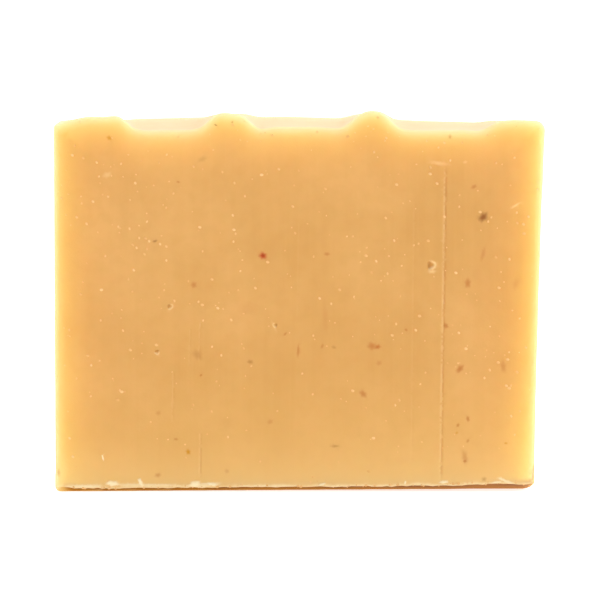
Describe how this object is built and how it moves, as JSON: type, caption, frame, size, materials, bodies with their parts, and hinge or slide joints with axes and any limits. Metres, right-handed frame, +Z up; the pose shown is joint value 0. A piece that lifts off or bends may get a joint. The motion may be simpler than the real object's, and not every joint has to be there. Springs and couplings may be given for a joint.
{
  "type": "bar of soap",
  "caption": "Hand-cut soap slice with two wire-cut faces, moulded sides and a free wavy top, standing on its moulded base.",
  "frame": {"origin": "middle of the bar's outline on the moulded base that it stands on", "axes": "+X along the wide cut face to the right, +Y from the front cut face to the back one, +Z up"},
  "size_m": [0.0836, 0.026, 0.0654],
  "materials": {
    "soap": "cured soap: satin, slightly waxy and translucent, caramel with a paler skin on the free top"
  },
  "bodies": {
    "root": {"soap_bar": "soap"}
  },
  "joints": []
}
